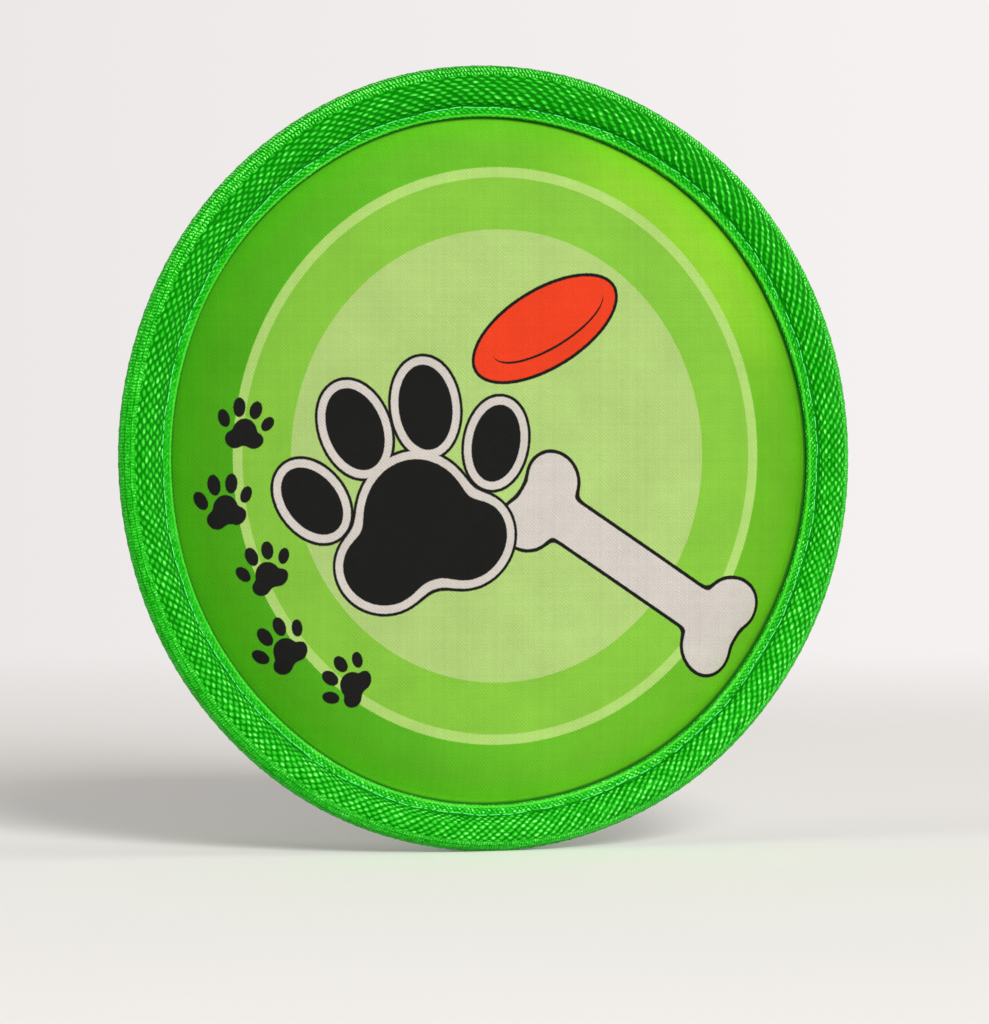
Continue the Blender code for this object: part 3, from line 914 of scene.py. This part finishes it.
STITCHES = 158
STEPS_PER_STITCH = 12
THREAD_RADIUS = 0.19
THREAD_SIDES = 8
HOLE_DEPTH = 0.5
SUNK_DEPTH = 0.26  # here and there the webbing's tufts close over a stitch
thread_turn = np.linspace(0, TAU, STITCHES * STEPS_PER_STITCH + 1)[:, None]
thread_count = np.arange(STITCHES * STEPS_PER_STITCH + 1)[:, None] / STEPS_PER_STITCH


def stitching(name, side, seed):
    """One face's thread. side is 1 for the printed face and -1 for the back."""
    around = np.linspace(0, TAU, THREAD_SIDES + 1)[:-1]
    in_stitch = thread_count % 1.0
    hole = np.exp(-((np.minimum(in_stitch, 1 - in_stitch) / 0.11) ** 2))
    number = np.floor(thread_count)
    sunk = np.clip(np.sin(number * 2.4 + seed) + np.sin(number * 0.73 + 2 * seed) - 0.2, 0, 2)
    lift = VALLEY_HEIGHT + 0.12 - HOLE_DEPTH * hole
    lift = lift - SUNK_DEPTH * sunk * np.sin(math.pi * in_stitch)
    seam = STITCH_RADIUS + seam_wander(STITCH_RADIUS, thread_turn)
    seam = seam + 0.18 * np.sin(23 * thread_turn + seed) + 0.10 * np.sin(61 * thread_turn)
    radius = seam + THREAD_RADIUS * np.cos(around)
    height = side * (lift + THREAD_RADIUS * np.sin(around))
    points = on_disc(radius, thread_turn, height)[:-1]
    uv_shape = (len(thread_turn), THREAD_SIDES + 1)
    uv_across = np.broadcast_to(np.linspace(0, 1, THREAD_SIDES + 1), uv_shape)
    uv_along = np.broadcast_to(thread_count, uv_shape)
    return grid_mesh(name, points, True, True, np.stack([uv_along, uv_across], -1))


VALLEY_HEIGHT = float(np.interp(STITCH_RADIUS, half_line[::-1, 0], half_line[::-1, 1]))
front_stitching = stitching("front_stitching_thread", 1, 0.0)
back_stitching = stitching("back_stitching_thread", -1, 2.0)

# Bonded nylon thread, pale green: smooth and bright, with its three plies turning about it, painted
# lighter on their crowns and darker in the grooves between them.
thread_dye, tree, shader = new_material(
    "bonded_nylon_thread", IOR=1.53, Roughness=0.36, Specular_IOR_Level=0.25
)
uv = add(tree, "UVMap", uv_map="weave")
ply = add(tree, "VectorMath", uv, (3.0, 3.0, 0), operation="DOT_PRODUCT").outputs["Value"]
ply_wave = add(tree, "Math", ply, TAU, operation="MULTIPLY")
ply_sine = add(tree, "Math", ply_wave, operation="SINE")
ply_rise = add(tree, "MapRange", ply_sine, -1, 1, 0, 1)
ply_light_and_shade = ramp(tree, ply_rise, (0.0, "#109038"), (0.4, "#2cba50"), (1.0, "#5ae074"))
ply_bump = add(tree, "Bump", named={"Strength": 0.6, "Distance": 0.0001, "Height": ply_rise})
tree.links.new(ply_light_and_shade, shader.inputs["Base Color"])
tree.links.new(ply_bump.outputs[0], shader.inputs["Normal"])
for thread, node, slot in (
    (front_stitching, "front_stitching", "needle_thread"),
    (back_stitching, "back_stitching", "bobbin_thread"),
):
    thread.data.materials.append(thread_dye)
    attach(thread, "root")
    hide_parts(node)

# ----------------------------------------------------------------------
# The stage: a pale paper floor that fades into a pale studio, a soft key light high in front and
# low ones beside it and to both sides, and a low camera to the left of the disc's axis.

CAMERA_AZIMUTH = math.radians(-21.7)
CAMERA_ELEVATION = math.radians(1.37)
CAMERA_DISTANCE = 2.0
FLOOR = cad_box[0][2]
FLOOR_HALF_WIDTH = 9
FADE = (0.5, 1.4)  # metres from the disc over which the floor gives way to the studio
floor_mesh = bpy.data.meshes.new("floor")
floor_work = bmesh.new()
bmesh.ops.create_grid(floor_work, x_segments=2, y_segments=2, size=FLOOR_HALF_WIDTH)
bmesh.ops.translate(floor_work, verts=floor_work.verts, vec=(0, 0, FLOOR))
floor_work.to_mesh(floor_mesh)
floor_work.free()
floor = bpy.data.objects.new("floor", floor_mesh)
bpy.context.scene.collection.objects.link(floor)

# Matt backdrop paper: an even pale grey with the faintest cloudiness.
paper, tree, shader = new_material("matt_backdrop_paper", Roughness=0.85, IOR=1.4)
place = add(tree, "TexCoord").outputs["Object"]
cloud = add(tree, "TexNoise", place, named={"Scale": 6, "Detail": 4})
greys = {6: linear("#e9e7e5"), 7: linear("#edebe8")}
paper_colour = add(tree, "Mix", cloud, data_type="RGBA", named=greys)
tree.links.new(paper_colour.outputs[2], shader.inputs["Base Color"])
from_disc = add(tree, "VectorMath", place, operation="LENGTH").outputs["Value"]
fade = add(tree, "MapRange", from_disc, *FADE, 0, 1, interpolation_type="SMOOTHSTEP")
clear = add(tree, "BsdfTransparent")
floor_mix = add(tree, "MixShader", fade, shader, clear)
paper_out = tree.nodes["Material Output"]
tree.links.new(floor_mix.outputs[0], paper_out.inputs["Surface"])
floor.data.materials.append(paper)

# The studio: pale all round, a little paler to the right, and darker overhead.
world = bpy.data.worlds.new("studio")
bpy.context.scene.world = world
world.use_nodes = True
tree = world.node_tree
sky = tree.nodes["Background"]
towards = add(tree, "TexCoord").outputs["Generated"]
towards_xyz = add(tree, "SeparateXYZ", towards)
overhead = add(tree, "MapRange", towards_xyz.outputs[2], 0.10, 0.45, 0, 1)
rightward = (math.cos(CAMERA_AZIMUTH), math.sin(CAMERA_AZIMUTH), 0)
sideways = add(tree, "VectorMath", towards, rightward, operation="DOT_PRODUCT")
side_share = add(tree, "MapRange", sideways.outputs["Value"], -0.09, 0.06, 0, 1)
horizon = ramp(tree, side_share, (0.0, "#eae7e6"), (1.0, "#f5f1f0"))
studio = add(tree, "Mix", overhead, data_type="RGBA", named={6: horizon, 7: linear("#969492")})
tree.links.new(studio.outputs[2], sky.inputs["Color"])
sky.inputs["Strength"].default_value = 1.0


def soft_light(name, azimuth, elevation, distance, width, height, power):
    """A soft box that looks at the disc, in degrees, metres and watts.

    Azimuth 0 faces the print, and grows to the right.
    """
    lamp = bpy.data.lights.new(name, "AREA")
    lamp.shape = "RECTANGLE"
    lamp.size = width
    lamp.size_y = height
    lamp.energy = power
    lamp.color = linear("#fffefd")[:3]
    holder = bpy.data.objects.new(name, lamp)
    turn = math.radians(azimuth)
    rise = math.radians(elevation)
    level = distance * math.cos(rise)
    holder.location = (level * math.sin(turn), -level * math.cos(turn), distance * math.sin(rise))
    holder.rotation_euler = (math.pi / 2 - rise, 0, turn)
    holder.visible_camera = False
    bpy.context.scene.collection.objects.link(holder)


soft_light("key_softbox", -3, 24.5, 10.0, 2.8, 3.25, 1047)
soft_light("front_reflector", -15, 4, 5.0, 2.0, 0.6, 86)
soft_light("right_softbox", 72, 7.5, 5.0, 2.4, 1.1, 170)
soft_light("left_fill", -78, 10, 5.0, 2.0, 1.4, 110)

lens = bpy.data.cameras.new("camera")
lens.sensor_fit = "HORIZONTAL"
lens.sensor_width = 36
lens.lens = 249.7
lens.clip_end = 50
camera = bpy.data.objects.new("camera", lens)
right_way = np.array(rightward)
level_back = np.array([math.sin(CAMERA_AZIMUTH), -math.cos(CAMERA_AZIMUTH), 0])
upward = np.array([0, 0, math.sin(CAMERA_ELEVATION)])
back_way = level_back * math.cos(CAMERA_ELEVATION) + upward
up_way = np.cross(back_way, right_way)
aim = 1.2 * MM * right_way - 15.6 * MM * up_way
camera.location = aim + CAMERA_DISTANCE * back_way
camera.rotation_euler = (math.pi / 2 - CAMERA_ELEVATION, 0, CAMERA_AZIMUTH)
bpy.context.scene.collection.objects.link(camera)
bpy.context.scene.camera = camera
bpy.context.scene.view_settings.view_transform = "Standard"
